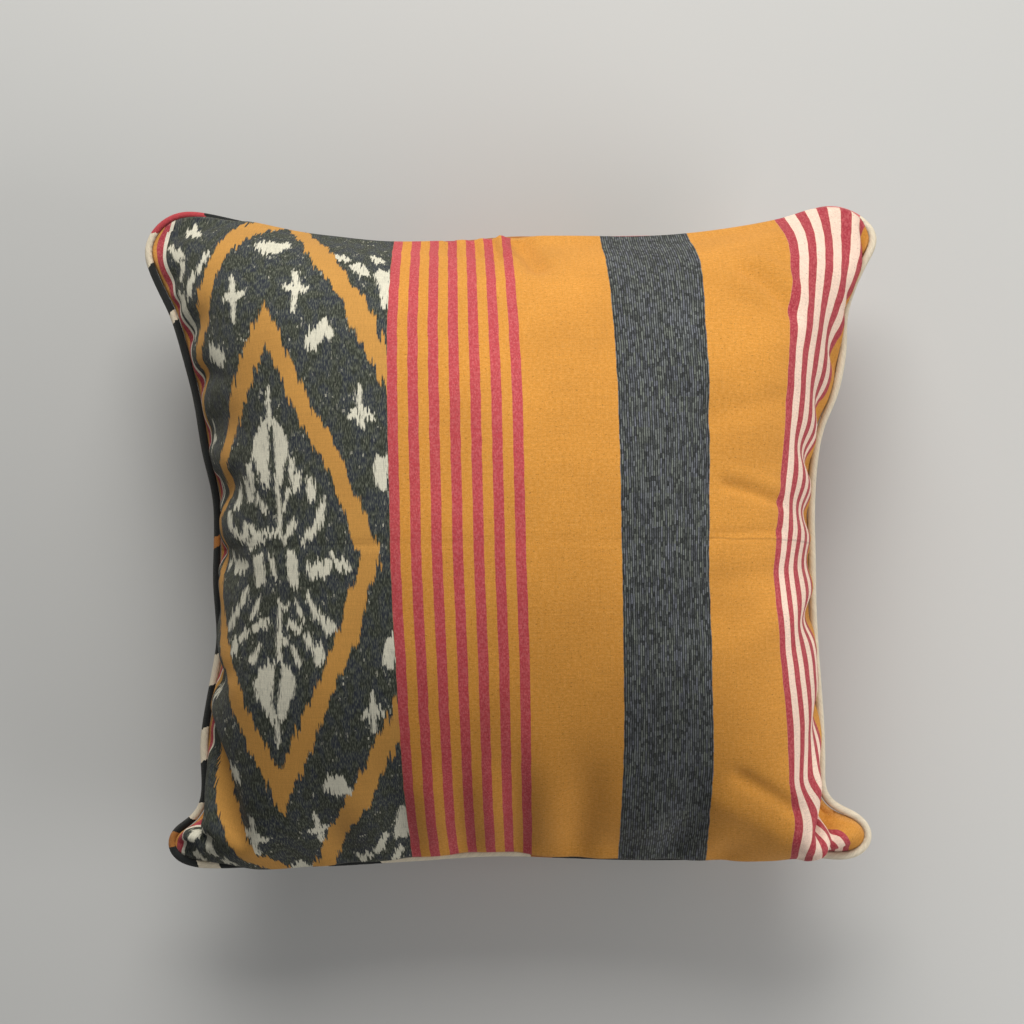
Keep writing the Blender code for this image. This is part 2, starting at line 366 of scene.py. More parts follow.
def push_field(n):
    """How hard the filling pushes, less where the side seams draw the cloth in."""
    U, V = np.meshgrid(np.linspace(0, CUT, n + 1), np.linspace(0, CUT, n + 1))
    f = np.ones((n + 1, n + 1))
    for rows, off in ((RIGHT_PULLS, CUT - U), (LEFT_PULLS, U)):
        for at, half, strength in rows:
            f -= strength * np.exp(-(((V - at) / half) ** 2) - (off / PULL_REACH) ** 2)
    off = np.minimum(U, CUT - U)
    for v, tall, u, wide, strength in SLACK:
        f -= strength * np.exp(-(((V - v) / tall) ** 2) - ((off - u) / wide) ** 2)
    return f


def fill(P, hold, steps, squeeze, shear, bend, keep_xy, keep_z, even):
    """Blows the cover up until the cloth carries the filling. hold is how hard each
    point of the seam is kept on the outline, carried over from the coarser cloth."""
    n = P.shape[1] - 1
    flat = cut_panel(n)
    across = np.linalg.norm(flat[:, 1:] - flat[:, :-1], axis=-1)[None]
    along = np.linalg.norm(flat[1:] - flat[:-1], axis=-1)[None]
    rising = np.linalg.norm(flat[1:, 1:] - flat[:-1, :-1], axis=-1)[None]
    falling = np.linalg.norm(flat[1:, :-1] - flat[:-1, 1:], axis=-1)[None]
    d = np.linspace(0, CUT, n + 1)
    middle = (d[1:] + d[:-1]) / 2
    off = np.minimum(d, CUT - d)
    clear = np.clip(np.minimum(middle, CUT - middle) / 50, 0, 1)
    along = along * (1 - GATHER * clear[:, None] * np.exp(-((off / GATHER_REACH) ** 2)))
    v, tall, u, wide, share = TAKEN_UP
    off = np.minimum(middle, CUT - middle)
    taken = np.exp(-(((d - v) / tall) ** 2))[:, None] * np.exp(-(((off - u) / wide) ** 2))
    across = across * (1 - share * taken)
    every, lo, hi = slice(None), slice(0, n), slice(1, n + 1)
    pairs = []
    for k in (0, 1):
        odd, even_ = slice(k, n, 2), slice(k + 1, n + 1, 2)
        pairs.append(((every, every, odd), (every, every, even_), across[:, :, k::2], 1.0, squeeze))
        pairs.append(((every, odd, every), (every, even_, every), along[:, k::2], 1.0, squeeze))
        pairs.append(((every, odd, lo), (every, even_, hi), rising[:, k::2], shear, shear / 2))
        pairs.append(((every, odd, hi), (every, even_, lo), falling[:, k::2], shear, shear / 2))
    pairs = [pairs[k] for k in (0, 4, 1, 5, 2, 6, 3, 7)]
    i, j = edge(n)
    wanted = around(n)[:, :3]
    wanted[:, 2] += SEAM_Z * MM
    at = np.arange(4 * n) / (4 * n)
    have = np.arange(len(hold) + 1) / len(hold)
    hold = np.stack([np.interp(at, have, np.append(hold[:, k], hold[0, k])) for k in (0, 1)], axis=1)
    step = 0.15 * (CUT * MM / n) ** 2 * push_field(n)[None, ..., None]
    speed = np.zeros_like(P)
    for _ in range(steps):
        before = P.copy()
        P += speed * 0.9
        P += normals(before) * step
        d = P[:, :, 2:] + P[:, :, :-2] - 2 * P[:, :, 1:-1]
        P[:, :, 1:-1] += d * (bend * 0.5)
        P[:, :, 2:] -= d * (bend * 0.25)
        P[:, :, :-2] -= d * (bend * 0.25)
        d = P[:, 2:] + P[:, :-2] - 2 * P[:, 1:-1]
        P[:, 1:-1] += d * (bend * 0.5)
        P[:, 2:] -= d * (bend * 0.25)
        P[:, :-2] -= d * (bend * 0.25)
        for a, b, rest, stretch, give in pairs:
            pull_together(P, a, b, rest, stretch, give)
        rim = (P[0, i, j] + P[1, i, j]) / 2
        miss = wanted[:, :2] - rim[:, :2]
        hold = np.clip(hold + 0.004 * miss, -0.02, 0.02)
        hold += 0.25 * (np.roll(hold, 1, axis=0) + np.roll(hold, -1, axis=0) - 2 * hold)
        rim[:, :2] += (miss + hold) * keep_xy
        rim[:, 2] += (wanted[:, 2] - rim[:, 2]) * keep_z
        for _ in range(2):
            rim += (np.roll(rim, 1, axis=0) + np.roll(rim, -1, axis=0) - 2 * rim) * 0.25 * even
        P[0, i, j] = rim
        P[1, i, j] = rim
        np.maximum(P[..., 2], 0, out=P[..., 2])
        speed = P - before
    return P, hold


def filled_cover():
    """Four passes, each with threads half as far apart as the last."""
    rng = np.random.default_rng(7)

    def uneven(P, size):
        n = P.shape[1] - 1
        shift = rng.standard_normal(P.shape) * size
        i, j = edge(n)
        shift[1, i, j] = shift[0, i, j]
        return P + shift

    n = 27
    hold = np.zeros((4 * n, 2))
    P = uneven(first_shape(n), 0.0003)
    P, hold = fill(P, hold, 1500, 0.15, 0.20, 0.05, 0.30, 0.05, 0.3)
    P = uneven(finer(P), 0.0002)
    P, hold = fill(P, hold, 1000, 0.30, 0.15, 0.05, 0.15, 0.02, 0.5)
    P = uneven(finer(P), 0.0001)
    P, hold = fill(P, hold, 700, 0.50, 0.12, 0.05, 0.15, 0.01, 0.8)
    P = uneven(finer(P), 0.00003)
    P, hold = fill(P, hold, 300, 0.70, 0.10, 0.08, 0.15, 0.01, 1.0)
    return P


def eased(x):
    x = np.clip(x, 0, 1)
    return x * x * (3 - 2 * x)


def ironed(P):
    """Takes the finest gathers out along the head and the foot, where the cloth is
    drawn tight over the rolled seam."""
    n = P.shape[1] - 1
    v = np.linspace(0, CUT, n + 1)[:, None]
    u = np.linspace(0, CUT, n + 1)[None, :]
    near = 1 - eased((np.minimum(v, CUT - v) - 30) / 50)
    middle = eased((np.minimum(u, CUT - u) - 45) / 40)
    weight = 0.85 * near * middle
    reach = np.arange(-9, 10)
    bell = np.exp(-((reach / 4.5) ** 2))
    bell /= bell.sum()
    wide = np.zeros_like(P[0])
    for k, w in zip(reach, bell):
        wide += w * P[0][:, np.clip(np.arange(n + 1) + k, 0, n)]
    out = P.copy()
    out[0, ..., 1:] += (wide[..., 1:] - P[0, ..., 1:]) * weight[..., None]
    out[1, [0, n], :] = out[0, [0, n], :]
    return out


def folded(P):
    """Presses the creases into the face."""
    n = P.shape[1] - 1
    U, V = np.meshgrid(np.linspace(0, CUT, n + 1), np.linspace(0, CUT, n + 1))
    clear = eased(np.minimum(np.minimum(U, CUT - U), np.minimum(V, CUT - V)) / 7)
    depth = np.zeros_like(U)
    for u0, v0, u1, v1, half, deep in FOLDS:
        du, dv = u1 - u0, v1 - v0
        length = math.hypot(du, dv)
        along = ((U - u0) * du + (V - v0) * dv) / length
        off = ((U - u0) * dv - (V - v0) * du) / length
        past = np.maximum(0, np.maximum(-along, along - length))
        depth += deep * np.exp(-((off / half) ** 2) - (past / (1.5 * half)) ** 2)
    for rows, off in ((RIGHT_PULLS, CUT - U), (LEFT_PULLS, U)):
        for k, (at, half, strength) in enumerate(rows):
            bent = V - at - off * (0.25, -0.2, 0.1)[k % 3]
            depth += 3.0 * strength * np.exp(-((bent / (0.6 * half)) ** 2) - (off / 19.0) ** 2)
    out = P.copy()
    out[0] -= normals(P)[0] * (depth * clear * MM)[..., None]
    return out


def rolled(P):
    """Rolls the face's edge out over the seam where the piping is tucked under it."""
    n = P.shape[1] - 1
    out = P.copy()
    d = np.linspace(0, CUT, n + 1)
    swell = d / 4.0 * np.exp(1 - d / 4.0)
    loop = around(n)
    away = -inward(loop)
    for k in range(4):
        roll = loop[k * n : (k + 1) * n, 3]
        move = away[k * n : (k + 1) * n] * (roll * LIP * MM)[:, None]
        shift = swell[:, None, None] * move[None]  # distance from the seam, place along it
        if k == 0:
            out[0, :, :n, :2] += shift
        elif k == 1:
            out[0, :n, ::-1, :2] += np.swapaxes(shift, 0, 1)
        elif k == 2:
            out[0, ::-1, n:0:-1, :2] += shift
        else:
            out[0, n:0:-1, :, :2] += np.swapaxes(shift, 0, 1)
    return out


# ---- how the woven stripes run on the face -----------------------------------------
# The cloth was cut a little off its thread, so that the stripes wander. Each row is one
# line of the cloth, in millimetres from its left selvedge side, and where it lies on
# the panel at these heights over the foot.
HEIGHTS = (0, 15, 30, 45, 60, 75, 100, 150, 180, 210, 240, 260, 300, 345, 380, 405, 450)
STRIPE_RUN = (
    # line,  shift at each height
    (0.0, (0, 0, 0, 0, 0, 0, 0, 0, 0, 0, 0, 0, 0, 0, 0, 0, 0)),
    (11.0, (0, -1, -3, -4, -6, -7, -5, -2, -3, -1, -4, -4, -3, 0, 0, 0, 0)),
    (32.0, (0, -2, -6, -11, -17, -19, -12, -6, -7, -5, -13, -15, -12, -4, -4, -3, -2)),
    (46.0, (0, -3, -9, -14, -18, -18, -9, -4.6, -5.1, -4.7, -10.7, -12.6, -11.5, -6.3, -5.9, -5.8, -6.7)),
    (62.0, (0, -3, -9, -9, -7, -4, -0.5, -3, -3, -2, -8, -10, -11, -9, -8, -9, -12)),
    (86.0, (0, 0.8, 1.5, 2, 2.5, 3.4, 5, 5.8, 5, 3.8, 2.8, 0.5, -1.5, -5.5, -6, -6, -6)),
    (157.0, (-1, -0.5, 0, 0.6, 1.2, 1.6, 2.4, 2, 0.8, -0.4, -0.7, -1.5, -2.8, -4.5, -5.2, -6.4, -10)),
    (229.0, (3.4, 3.1, 2.8, 2.6, 2.4, 2.3, 2.2, 1.7, 1, 0, -0.6, -1, -1.8, -4, -6, -7.8, -11)),
    (281.0, (6.8, 6.2, 5.6, 5, 4.4, 3.9, 3, 1.3, 0.6, 0, -0.3, -0.5, -1.1, -2.2, -3.2, -4.2, -7.4)),
    (330.0, (13.6, 12.2, 10.8, 8.9, 7, 5.8, 3.8, 0.6, 0, -0.5, 0, 0.4, 0.7, 0.2, 1.5, 1.2, -3)),
    (374.5, (20, 19, 18, 16.5, 15, 8.5, 5, 0.2, -2.6, -0.3, 3.6, 5, 7.6, 7.3, 9, 10.8, 8)),
    (386.0, (17, 16, 16, 18, 15, 4.5, 4.5, -1.1, -4.8, -1.6, 3.8, 5.5, 7.8, 7.7, 9.5, 10.9, 10)),
    (398.0, (14, 13, 15, 19, 14, 0.5, 4, -2.5, -7, -3, 4, 6, 8, 8, 10, 11, 12)),
    (426.0, (8, 8, 10, 13, 12, 5, 4, 0, -2, 0, 5, 7, 9, 10, 12.5, 14, 15)),
    (450.0, (6, 6, 6, 5.5, 5, 3.9, 2, 0.5, 0.5, 0.5, 2, 2.5, 3, 4, 5, 6, 7)),
)


def cloth_place(n):
    """For each point of the face, its place in the cloth, in millimetres."""
    grid = np.linspace(0, CUT, n + 1)
    lines = np.array([row[0] for row in STRIPE_RUN])
    shifts = np.array([row[1] for row in STRIPE_RUN], float)
    across = np.empty((n + 1, n + 1))
    bell = np.exp(-((np.arange(-8, 9) / 3.5) ** 2))
    bell /= bell.sum()
    at_heights = []
    for row in shifts:
        line = np.interp(grid, HEIGHTS, row)
        padded = np.concatenate([np.full(8, line[0]), line, np.full(8, line[-1])])
        at_heights.append(np.convolve(padded, bell, mode="valid"))
    at_heights = np.array(at_heights)
    for k in range(n + 1):
        across[k] = np.interp(grid, lines + at_heights[:, k], lines)
    return across, np.repeat(grid[:, None], n + 1, axis=1)


# ---- meshes ------------------------------------------------------------------------
def add_mesh(name, points, faces, uvs):
    mesh = bpy.data.meshes.new(name)
    mesh.vertices.add(len(points))
    mesh.vertices.foreach_set("co", np.ascontiguousarray(points, np.float32).ravel())
    mesh.loops.add(faces.size)
    mesh.loops.foreach_set("vertex_index", np.ascontiguousarray(faces, np.int32).ravel())
    mesh.polygons.add(len(faces))
    mesh.polygons.foreach_set("loop_start", np.arange(0, faces.size, faces.shape[1], dtype=np.int32))
    mesh.update(calc_edges=True)
    mesh.validate()
    for label, values in uvs:
        layer = mesh.uv_layers.new(name=label)
        layer.data.foreach_set("uv", np.ascontiguousarray(values, np.float32).ravel())
    mesh.shade_smooth()
    obj = bpy.data.objects.new(name, mesh)
    bpy.context.scene.collection.objects.link(obj)
    return obj


def add_cover(P):
    """One closed mesh: the face, then the back, which share the points of the seam."""
    n = P.shape[1] - 1
    index = np.arange((n + 1) ** 2).reshape(n + 1, n + 1)
    inner = np.arange((n - 1) ** 2).reshape(n - 1, n - 1) + (n + 1) ** 2
    back = index.copy()
    back[1:-1, 1:-1] = inner
    points = np.concatenate([P[0].reshape(-1, 3), P[1][1:-1, 1:-1].reshape(-1, 3)])
    quads = lambda g: np.stack([g[:-1, :-1], g[:-1, 1:], g[1:, 1:], g[1:, :-1]], axis=-1).reshape(-1, 4)
    faces = np.concatenate([quads(index), quads(back)[:, ::-1]])
    across, along = cloth_place(n)
    grid = np.linspace(0, 1, n + 1)
    bx, by = np.meshgrid(grid, grid)

    def corners(field, flip):
        q = quads(index)
        q = q[:, ::-1] if flip else q
        return field.reshape(-1)[q]

    cloth = np.concatenate(
        [
            np.stack([corners(across * MM, False), corners(along * MM, False)], axis=-1),
            np.stack([corners(bx * CUT * MM, True), corners((by * CUT + 37.0) * MM, True)], axis=-1),
        ]
    )
    bake = np.concatenate(
        [
            np.stack([corners(0.003 + 0.494 * bx, False), corners(0.003 + 0.994 * by, False)], axis=-1),
            np.stack([corners(0.503 + 0.494 * bx, True), corners(0.003 + 0.994 * by, True)], axis=-1),
        ]
    )
    # Distances from the seam, in the panel: which edges are near, for the wear.
    panel = np.concatenate(
        [
            np.stack([corners(bx, False), corners(by, False)], axis=-1),
            np.stack([corners(bx, True), corners(by, True)], axis=-1),
        ]
    )
    return add_mesh("cover", points, faces, [("cloth", cloth), ("OFBake", bake), ("panel", panel)])


def add_piping(P):
    """A round cord in its strip of cloth, sewn along the seam of the filled cover."""
    n = P.shape[1] - 1
    i, j = edge(n)
    rim = P[0, i, j]
    roll = around(n)[:, 3]
    count = 1100
    at = np.concatenate([[0.0], np.cumsum(np.linalg.norm(np.roll(rim, -1, axis=0) - rim, axis=1))])
    total = at[-1]
    closed = np.concatenate([rim, rim[:1]])
    s = np.arange(count) / count * total
    line = np.stack([np.interp(s, at, closed[:, k]) for k in range(3)], axis=1)
    lay = np.interp(s, at, np.append(roll, roll[0]))
    for _ in range(14):
        line += 0.25 * (np.roll(line, 1, axis=0) + np.roll(line, -1, axis=0) - 2 * line)
        lay += 0.25 * (np.roll(lay, 1) + np.roll(lay, -1) - 2 * lay)
    ahead = np.roll(line, -1, axis=0) - np.roll(line, 1, axis=0)
    ahead /= np.linalg.norm(ahead, axis=1)[:, None]
    out = np.cross(ahead, [0.0, 0.0, 1.0])
    out /= np.linalg.norm(out, axis=1)[:, None]
    up = np.cross(out, ahead)
    rng = np.random.default_rng(11)
    wander = rng.standard_normal((3, count))
    bell = np.exp(-((np.arange(-20, 21) / 9.0) ** 2))
    wander = np.array([np.convolve(np.tile(w, 3), bell, mode="same")[count : 2 * count] for w in wander])
    wander /= np.abs(wander).max(axis=1)[:, None]
    turn = lay * math.radians(62) + wander[0] * math.radians(9) * (1 - lay)
    way = np.cos(turn)[:, None] * out - np.sin(turn)[:, None] * up
    centre = line + way * (PIPE_R + 0.25) * MM + up * (wander[1] * 0.35 * MM)[:, None]
    for _ in range(3):
        centre += 0.25 * (np.roll(centre, 1, axis=0) + np.roll(centre, -1, axis=0) - 2 * centre)
    radius = (PIPE_R + 0.16 * wander[2]) * MM
    sides = 16
    angle = np.arange(sides) / sides * 2 * math.pi
    # The strip's two layers meet in the seam, so the section narrows towards it.
    shape = 1 + 0.10 * np.maximum(0, np.cos(angle)) ** 3
    second = np.cross(way, ahead)
    ring = (
        centre[:, None]
        - way[:, None] * (np.cos(angle) * shape)[None, :, None] * radius[:, None, None]
        + second[:, None] * np.sin(angle)[None, :, None] * radius[:, None, None]
    )
    grid = np.arange(count * sides).reshape(count, sides)
    a, b = grid, np.roll(grid, -1, axis=0)
    faces = np.stack([a, np.roll(a, -1, axis=1), np.roll(b, -1, axis=1), b], axis=-1).reshape(-1, 4)
    x = np.arange(count + 1) / count
    y = np.arange(sides + 1) / sides
    gx = np.stack([x[:-1], x[:-1], x[1:], x[1:]], axis=-1)[:, None].repeat(sides, axis=1)
    gy = np.stack([y[:-1], y[1:], y[1:], y[:-1]], axis=-1)[None].repeat(count, axis=0)
    run = np.stack([gx, gy], axis=-1).reshape(-1, 4, 2)
    bake = run * np.array([1.0, 0.96]) + np.array([0.0, 0.02])
    # Eight rows of the strip, one over the other, so that it fills the square.
    band = np.minimum((run[..., 0].min(axis=1) * 8).astype(int), 7)
    bake[..., 0] = (run[..., 0] * 8 - band[:, None]) * 0.99 + 0.005
    bake[..., 1] = (band[:, None] + 0.03 + 0.94 * run[..., 1]) / 8
    return add_mesh("piping_cord", ring.reshape(-1, 3), faces, [("cloth", run), ("OFBake", bake)]), total


# ---- shader building ---------------------------------------------------------------
class Value:
    """One number (or vector or colour) in a shader, with arithmetic."""

    def __init__(self, graph, socket):
        self.graph, self.socket = graph, socket

    def __add__(self, other):
        return self.graph.math("ADD", self, other)

    def __sub__(self, other):
        return self.graph.math("SUBTRACT", self, other)

    def __rsub__(self, other):
        return self.graph.math("SUBTRACT", other, self)

    def __mul__(self, other):
        return self.graph.math("MULTIPLY", self, other)

    def __truediv__(self, other):
        return self.graph.math("DIVIDE", self, other)

    __radd__, __rmul__ = __add__, __mul__


class Graph:
    def __init__(self, name):
        self.material = bpy.data.materials.new(name)
        self.material.use_nodes = True
        self.tree = self.material.node_tree
        self.shader = self.tree.nodes["Principled BSDF"]

    def put(self, socket, value):
        if isinstance(value, Value):
            self.tree.links.new(value.socket, socket)
        else:
            socket.default_value = value

    def node(self, kind, **settings):
        made = self.tree.nodes.new(kind)
        for key, value in settings.items():
            setattr(made, key, value)
        return made

    def math(self, operation, *values, clamp=False):
        made = self.node("ShaderNodeMath", operation=operation, use_clamp=clamp)
        for socket, value in zip(made.inputs, values):
            self.put(socket, value)
        return Value(self, made.outputs[0])

    def low(self, a, b):
        return self.math("MINIMUM", a, b)

    def high(self, a, b):
        return self.math("MAXIMUM", a, b)

    def size(self, a):
        return self.math("ABSOLUTE", a)

    def floor(self, a):
        return self.math("FLOOR", a)

    def ramp(self, x, low, high):
        """0 at low, 1 at high, straight between; low may be the larger."""
        made = self.node("ShaderNodeMapRange", clamp=True)
        for k, value in enumerate((x, low, high, 0.0, 1.0)):
            self.put(made.inputs[k], value)
        return Value(self, made.outputs[0])

    def uv(self, name):
        made = self.node("ShaderNodeUVMap", uv_map=name)
        parts = self.node("ShaderNodeSeparateXYZ")
        self.tree.links.new(made.outputs[0], parts.inputs[0])
        return Value(self, parts.outputs[0]), Value(self, parts.outputs[1])

    def vector(self, x, y, z=0.0):
        made = self.node("ShaderNodeCombineXYZ")
        for socket, value in zip(made.inputs, (x, y, z)):
            self.put(socket, value)
        return Value(self, made.outputs[0])

    def apart(self, vector):
        made = self.node("ShaderNodeSeparateXYZ")
        self.put(made.inputs[0], vector)
        return [Value(self, out) for out in made.outputs]

    def vmath(self, operation, *values, scale=None):
        made = self.node("ShaderNodeVectorMath", operation=operation)
        for socket, value in zip(made.inputs, values):
            self.put(socket, value)
        if scale is not None:
            self.put(made.inputs["Scale"], scale)
        return Value(self, made.outputs["Value" if operation in ("DOT_PRODUCT", "LENGTH", "DISTANCE") else "Vector"])

    def noise(self, vector, detail=1.0, rough=0.5, colour=False):
        made = self.node("ShaderNodeTexNoise", noise_dimensions="2D")
        self.put(made.inputs["Vector"], vector)
        made.inputs["Scale"].default_value = 1.0
        made.inputs["Detail"].default_value = detail
        made.inputs["Roughness"].default_value = rough
        return Value(self, made.outputs["Color" if colour else "Fac"])

    def dice(self, *values):
        """A number from 0 to 1 for each whole number, or pair of them."""
        made = self.node("ShaderNodeTexWhiteNoise", noise_dimensions="1D" if len(values) == 1 else "2D")
        if len(values) == 1:
            self.put(made.inputs["W"], values[0])
        else:
            self.put(made.inputs["Vector"], self.vector(*values))
        return Value(self, made.outputs["Value"])

    def mix(self, share, a, b):
        made = self.node("ShaderNodeMix", data_type="RGBA")
        self.put(made.inputs[0], share)
        self.put(made.inputs[6], a if isinstance(a, Value) else (*a, 1.0))
        self.put(made.inputs[7], b if isinstance(b, Value) else (*b, 1.0))
        return Value(self, made.outputs[2])

    def brighter(self, colour, amount):
        """The colour times a number, which may be over 1."""
        return self.vmath("SCALE", colour, scale=amount)

    def bands(self, x, rows):
        """A colour for each band: rows of (where it starts, 0 to 1; colour)."""
        made = self.node("ShaderNodeValToRGB")
        ramp = made.color_ramp
        ramp.interpolation = "CONSTANT"
        for k, (start, colour) in enumerate(rows):
            stop = ramp.elements[k] if k < len(ramp.elements) else ramp.elements.new(start)
            stop.position = start
            stop.color = (*colour, 1.0)
        self.put(made.inputs[0], x)
        return Value(self, made.outputs[0])

    def finish(self, colour, roughness, height, depth, sheen, tint):
        self.put(self.shader.inputs["Base Color"], colour)
        self.put(self.shader.inputs["Roughness"], roughness)
        self.shader.inputs["Specular IOR Level"].default_value = 0.15
        self.shader.inputs["Sheen Weight"].default_value = sheen
        self.shader.inputs["Sheen Roughness"].default_value = 0.55
        self.shader.inputs["Sheen Tint"].default_value = (*tint, 1.0)
        bump = self.node("ShaderNodeBump")
        bump.inputs["Strength"].default_value = 1.0
        bump.inputs["Distance"].default_value = depth
        self.put(bump.inputs["Height"], height)
        self.tree.links.new(bump.outputs[0], self.shader.inputs["Normal"])
        return self.material


# ---- the woven cloth ---------------------------------------------------------------
ORANGE = (0.595, 0.256, 0.038)
RUST = (0.40, 0.16, 0.04)
RED = (0.45, 0.056, 0.066)
PINK = (0.62, 0.17, 0.17)
CREAM = (0.83, 0.62, 0.50)
WHITE = (0.70, 0.67, 0.56)
DARK = (0.016, 0.018, 0.018)
SILVER = (0.195, 0.205, 0.245)
SILVER_GREEN = (0.220, 0.240, 0.205)
GROUND = (0.025, 0.029, 0.022)
GROUND_BLUE = (0.024, 0.029, 0.040)
GROUND_LIGHT = (0.135, 0.145, 0.108)
IKAT_CREAM = (0.64, 0.61, 0.49)
IKAT_ORANGE = (0.52, 0.260, 0.060)

DEEP_RED = (0.37, 0.040, 0.056)
PIPE_CREAM = (0.72, 0.63, 0.48)

# Where the stripes lie across the cloth. A run is a number of equal stripes with even
# gaps: first edge, last edge, distance from one to the next, width of each.
EDGE_RED, EDGE_WHITE = (3.5, 8.3), (8.3, 11.0)
IKAT = (11.0, 157.0)
RED_RUN = (157.0, 230.0, 11.22, 5.6)
BAND = (281.1, 330.2)
CREAM_RUN = (374.5, 426.2, 11.6, 5.5)  # red stripes on a cream ground

# The ikat band: nested lozenges round a flowering branch, tied before the cloth was
# woven, so that its edges are stepped across the threads and frayed along them.
AXIS, MIDDLE = 86.0, 210.5  # on the cloth
# The middle that a lozenge is drawn about, the rise of its side, its half heights.
LOZENGES = ((209.5, 2.2, 122.0, 148.0), (218.0, 2.0, 228.0, 256.0))

# Strokes of the figure about its middle: from (x, y) with half width r to the next
# (x, y) with half width r. These are mirrored left to right.
#    x0   y0    r0   x1   y1    r1
BRANCH = (
    (0.0, 96.0, 1.2, 0.0, 72.0, 1.7),
    (3.2, 76.0, 1.8, 6.4, 63.0, 4.9),
    (6.4, 63.0, 4.9, 6.6, 56.0, 4.9),
    (6.4, 56.0, 4.6, 4.2, 41.0, 2.3),
    (13.4, 52.0, 2.0, 12.6, 40.0, 1.7),
    (17.4, 45.0, 1.7, 14.4, 36.0, 2.6),
    (10.4, 34.0, 1.5, 5.6, 26.0, 1.8),
    (23.4, 42.0, 1.4, 24.8, 33.0, 3.5),
    (13.0, 17.5, 2.2, 7.0, 7.5, 1.9),
    (32.0, 28.0, 1.7, 29.8, 19.0, 3.1),
    (28.4, 17.0, 3.0, 19.0, 8.5, 1.7),
    (10.8, -2.0, 3.5, 10.6, -15.0, 3.6),
    (22.5, -7.0, 3.6, 32.0, -7.6, 4.6),
    (38.0, -2.5, 2.4, 45.5, -5.0, 2.9),
    (12.0, -25.0, 1.4, 15.5, -34.0, 1.4),
    (19.5, -21.0, 1.7, 25.0, -32.0, 1.9),
    (27.0, -34.0, 2.4, 32.5, -41.0, 3.2),
    (7.8, -38.5, 2.6, 12.0, -39.5, 2.7),
    (17.0, -42.0, 1.6, 21.0, -49.0, 2.1),
    (24.8, -50.0, 2.8, 25.5, -56.0, 3.0),
    (9.5, -51.0, 1.5, 12.5, -58.0, 2.2),
    (3.4, -60.0, 1.8, 6.3, -70.0, 4.7),
    (6.3, -70.0, 4.7, 6.0, -77.0, 4.5),
    (5.4, -78.0, 4.0, 1.8, -91.0, 1.6),
    (0.0, -88.0, 1.5, 0.0, -106.0, 1.2),
)
# These lie to one side of it, x to the right.
SPRIGS = (
    (1.9, 42.0, 1.4, 3.4, 11.0, 1.8),
    (3.2, 11.5, 2.0, -5.0, 13.0, 1.8),
    (-10.0, 12.0, 2.2, -15.5, 6.0, 2.4),
    (-16.0, 19.0, 1.6, -17.5, 10.0, 2.4),
    (0.3, -27.0, 1.4, 0.9, -59.0, 1.6),
    (1.0, -27.5, 1.5, 6.0, -28.5, 1.4),
    (2.0, -44.0, 1.4, 5.2, -47.0, 1.8),
    (-3.0, -2.0, 1.7, -1.5, -13.0, 1.2),
    (-58.0, 226.0, 4.4, -50.0, 218.0, 3.0),
    (-70.0, 214.0, 2.6, -62.0, 204.0, 3.6),
)
# Small figures round the lozenges, mirrored left to right and head to foot about a line
# a little lower.
SCATTER_MIDDLE = 205.5
SCATTER = (
    (17.6, 148.0, 1.5, 17.8, 177.0, 1.9),
    (12.6, 164.5, 2.2, 17.6, 163.0, 4.0),
    (17.6, 163.0, 4.0, 23.0, 164.0, 2.4),
    (56.5, 73.0, 1.3, 56.5, 96.0, 1.7),
    (51.5, 83.0, 2.2, 56.5, 82.0, 3.9),
    (56.5, 82.0, 3.9, 61.5, 81.5, 2.2),
    (30.0, 126.5, 5.2, 38.0, 132.0, 4.8),
    (0.0, 198.5, 4.6, 4.6, 203.5, 5.4),
    (67.5, 41.0, 3.0, 67.0, 54.0, 4.4),
    (69.5, 152.0, 2.2, 67.0, 180.0, 5.0),
    (39.0, 199.0, 2.6, 44.0, 195.0, 3.4),
    (51.0, 189.0, 3.4, 57.0, 178.0, 3.0),
    (60.0, 203.0, 2.2, 64.0, 196.0, 3.2),
)


def strokes(g, point, rows, found=None):
    """How far a point is from the nearest stroke's edge, negative inside it."""
    for x0, y0, r0, x1, y1, r1 in rows:
        dx, dy = x1 - x0, y1 - y0
        square = dx * dx + dy * dy
        if found is not None:  # so that the strokes are worked out one after another
            point = g.vmath("MULTIPLY_ADD", found, (0.0, 0.0, 1e-6), point)
        from_start = g.vmath("SUBTRACT", point, (x0, y0, 0.0))
        t = g.vmath("DOT_PRODUCT", from_start, (dx / square, dy / square, 0.0))
        t = g.math("ADD", t, 0.0, clamp=True)
        on = g.vmath("SCALE", (dx, dy, 0.0), scale=t)
        off = g.vmath("DISTANCE", from_start, on)
        d = off - g.math("MULTIPLY_ADD", t, r1 - r0, r0)
        found = d if found is None else g.low(found, d)
    return found


def weave(g, u, v, pitch):
    """The height of a plain weave of this pitch, 0 to 1."""
    a, b = u / pitch, v / pitch
    over = g.math("MODULO", g.floor(a) + g.floor(b), 2.0)
    warp = g.size(g.math("SINE", a * math.pi))
    weft = g.size(g.math("SINE", b * math.pi))
    return g.math("MULTIPLY_ADD", over, warp - weft, weft)


